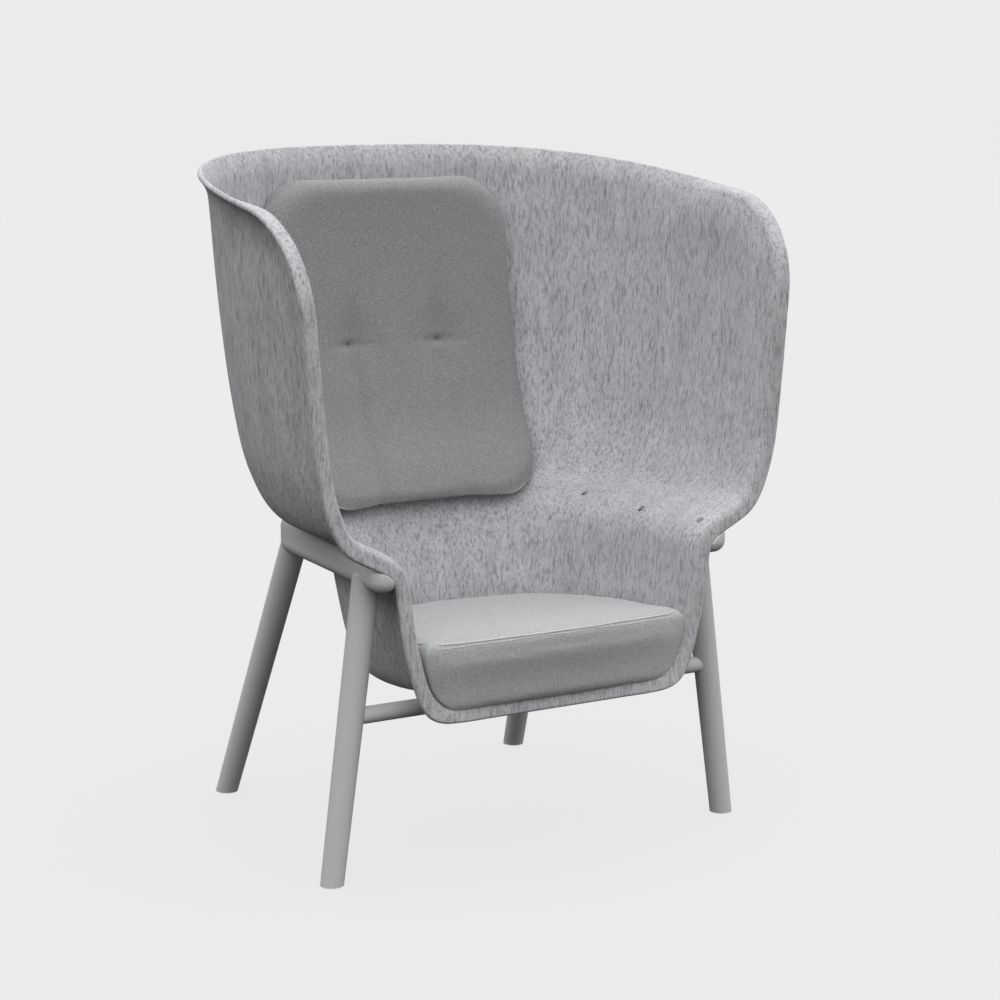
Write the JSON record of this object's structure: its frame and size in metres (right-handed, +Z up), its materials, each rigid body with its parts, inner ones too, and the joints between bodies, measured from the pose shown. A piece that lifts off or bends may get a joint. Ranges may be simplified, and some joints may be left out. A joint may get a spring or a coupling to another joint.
{
  "type": "acoustic high back lounge chair",
  "caption": "High-back lounge chair: a moulded felt shell with wings, arm shelves and a bucket seat, loose seat and back cushions, on a painted round-leg frame.",
  "frame": {"origin": "centre of the bounding box's base, on the floor", "axes": "+Z up, the chair faces -Y, +X is to the right of a person looking at its front"},
  "size_m": [1.078, 0.7637, 1.2917],
  "materials": {
    "felt": "matt moulded felt with darker fibre streaks",
    "seat_fabric": "fine woven grey",
    "back_fabric": "fine woven grey",
    "frame_paint": "matt light grey",
    "dowel_wood": "plain beech",
    "screw_steel": "dark",
    "glide_plastic": "grey"
  },
  "bodies": {
    "root": {"felt_shell": "felt", "seat_cushion": "seat_fabric", "back_cushion": "back_fabric", "left_side_rail": "frame_paint", "right_side_rail": "frame_paint", "front_left_leg": "frame_paint", "front_right_leg": "frame_paint", "rear_left_leg": "frame_paint", "rear_right_leg": "frame_paint", "front_stretcher": "frame_paint", "leg_dowels": "dowel_wood", "shell_screws": "screw_steel", "foot_glides": "glide_plastic"}
  },
  "joints": []
}
